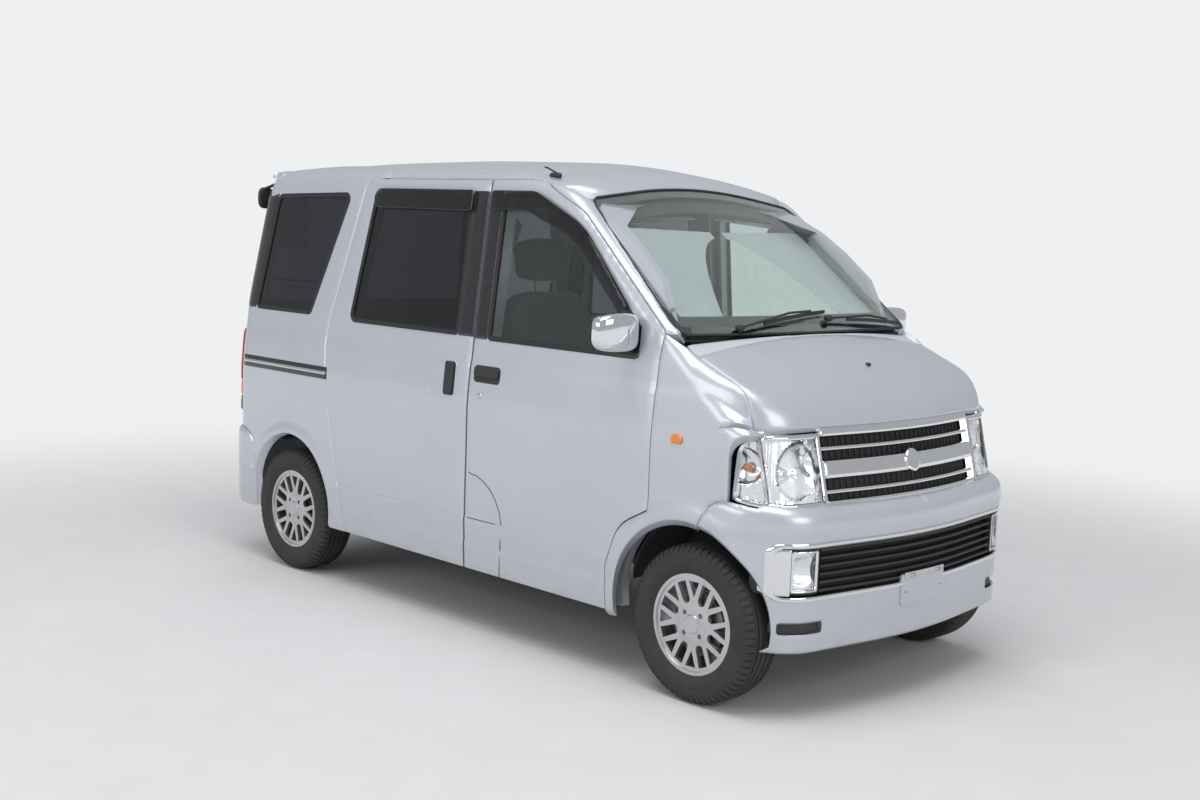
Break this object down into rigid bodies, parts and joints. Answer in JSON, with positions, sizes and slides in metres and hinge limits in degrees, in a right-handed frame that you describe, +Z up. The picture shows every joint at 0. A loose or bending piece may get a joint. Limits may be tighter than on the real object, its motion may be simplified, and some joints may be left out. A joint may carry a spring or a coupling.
{
  "type": "kei microvan car",
  "caption": "Small one-and-a-half-box silver microvan with hinged front doors, sliding rear doors, bonnet, tailgate and alloy wheels.",
  "frame": {"origin": "on the ground under the middle of the car", "axes": "+X to the front of the car, +Y to its left side, +Z up"},
  "size_m": [3.4074, 1.81, 1.855],
  "materials": {
    "paint": "light silver metallic paint, clear coated",
    "glass": "green-tinted laminated glass",
    "door_glass": "lightly tinted tempered glass",
    "privacy_glass": "dark privacy glass",
    "lamp_glass": "clear lamp lens over a bright reflector",
    "red_lens": "red lens",
    "chrome": "bright plating",
    "alloy": "silver painted cast alloy",
    "tyre": "worn black rubber",
    "black_plastic": "grained black plastic",
    "trim": "grained light trim",
    "seat_fabric": "woven grey cloth",
    "black_metal": "black underbody coating",
    "steel": "dull steel",
    "iron": "bare casting"
  },
  "bodies": {
    "car_body": {"cowl_panel": "black_plastic", "dashboard": "trim", "drive_shaft": "black_metal", "engine": "iron", "exhaust": "steel", "floor_pan": "black_metal", "frame_rails": "black_metal", "front_body": "black_metal", "front_bumper": "paint", "front_fenders": "paint", "front_floor": "black_metal", "front_grille": "chrome", "front_lights": "lamp_glass", "front_seats": "seat_fabric", "front_suspension": "black_metal", "fuel_tank": "black_metal", "lower_grille": "black_plastic", "quarter_windows": "privacy_glass", "rear_axle": "black_metal", "rear_bumper": "paint", "rear_seat": "seat_fabric", "roof_panel": "paint", "seat_box": "black_metal", "side_body_left": "paint", "side_body_right": "paint", "sliding_door_left": "paint", "sliding_door_right": "paint", "sliding_door_windows": "privacy_glass", "tail_lights": "red_lens", "windshield": "glass", "wipers": "black_plastic"},
    "front_door_right_body": {"front_door_right": "paint", "front_door_window_right": "door_glass", "door_mirror_right": "chrome"},
    "front_door_left_body": {"front_door_left": "paint", "front_door_window_left": "door_glass", "door_mirror_left": "chrome"},
    "tailgate_body": {"tailgate": "paint", "tailgate_window": "privacy_glass"},
    "bonnet_body": {"bonnet": "paint"},
    "steering_wheel_body": {"steering_wheel": "black_plastic"},
    "knuckle_right_body": {"front_knuckle_right": "steel"},
    "knuckle_left_body": {"front_knuckle_left": "steel"},
    "wheel_front_right_body": {"tyre_front_right": "tyre", "wheel_front_right": "alloy"},
    "wheel_front_left_body": {"tyre_front_left": "tyre", "wheel_front_left": "alloy"},
    "wheel_rear_right_body": {"tyre_rear_right": "tyre", "wheel_rear_right": "alloy"},
    "wheel_rear_left_body": {"tyre_rear_left": "tyre", "wheel_rear_left": "alloy"}
  },
  "joints": [
    {"name": "front_door_right_hinge", "type": "hinge", "parent": "car_body", "child": "front_door_right_body", "pos_m": [1.003, -0.727, 0.75], "axis": [0, 0, 1], "range_deg": [0, 65]},
    {"name": "front_door_left_hinge", "type": "hinge", "parent": "car_body", "child": "front_door_left_body", "pos_m": [1.003, 0.727, 0.75], "axis": [0, 0, -1], "range_deg": [0, 65]},
    {"name": "tailgate_hinge", "type": "hinge", "parent": "car_body", "child": "tailgate_body", "pos_m": [-1.4, 0, 1.815], "axis": [0, 1, 0], "range_deg": [0, 80]},
    {"name": "bonnet_hinge", "type": "hinge", "parent": "car_body", "child": "bonnet_body", "pos_m": [1.13, 0, 1.215], "axis": [0, -1, 0], "range_deg": [0, 55]},
    {"name": "steering_wheel_turn", "type": "hinge", "parent": "car_body", "child": "steering_wheel_body", "pos_m": [0.64, -0.33, 1.08], "axis": [-0.8222, 0, 0.5692], "range_deg": [-540, 540]},
    {"name": "steer_right", "type": "hinge", "parent": "car_body", "child": "knuckle_right_body", "pos_m": [1.25, -0.6, 0.165], "axis": [0, 0.2201, 0.9755], "range_deg": [-35, 35]},
    {"name": "steer_left", "type": "hinge", "parent": "car_body", "child": "knuckle_left_body", "pos_m": [1.25, 0.6, 0.165], "axis": [0, -0.2201, 0.9755], "range_deg": [-35, 35]},
    {"name": "wheel_front_right_spin", "type": "hinge", "parent": "knuckle_right_body", "child": "wheel_front_right_body", "pos_m": [1.25, -0.645, 0.2725], "axis": [0, 1, 0], "continuous": true},
    {"name": "wheel_front_left_spin", "type": "hinge", "parent": "knuckle_left_body", "child": "wheel_front_left_body", "pos_m": [1.25, 0.645, 0.2725], "axis": [0, 1, 0], "continuous": true},
    {"name": "wheel_rear_right_spin", "type": "hinge", "parent": "car_body", "child": "wheel_rear_right_body", "pos_m": [-1.17, -0.645, 0.2725], "axis": [0, 1, 0], "continuous": true},
    {"name": "wheel_rear_left_spin", "type": "hinge", "parent": "car_body", "child": "wheel_rear_left_body", "pos_m": [-1.17, 0.645, 0.2725], "axis": [0, 1, 0], "continuous": true}
  ],
  "couplings": [
    {"joint": "steer_left", "follows": "steer_right", "ratio": 1}
  ]
}
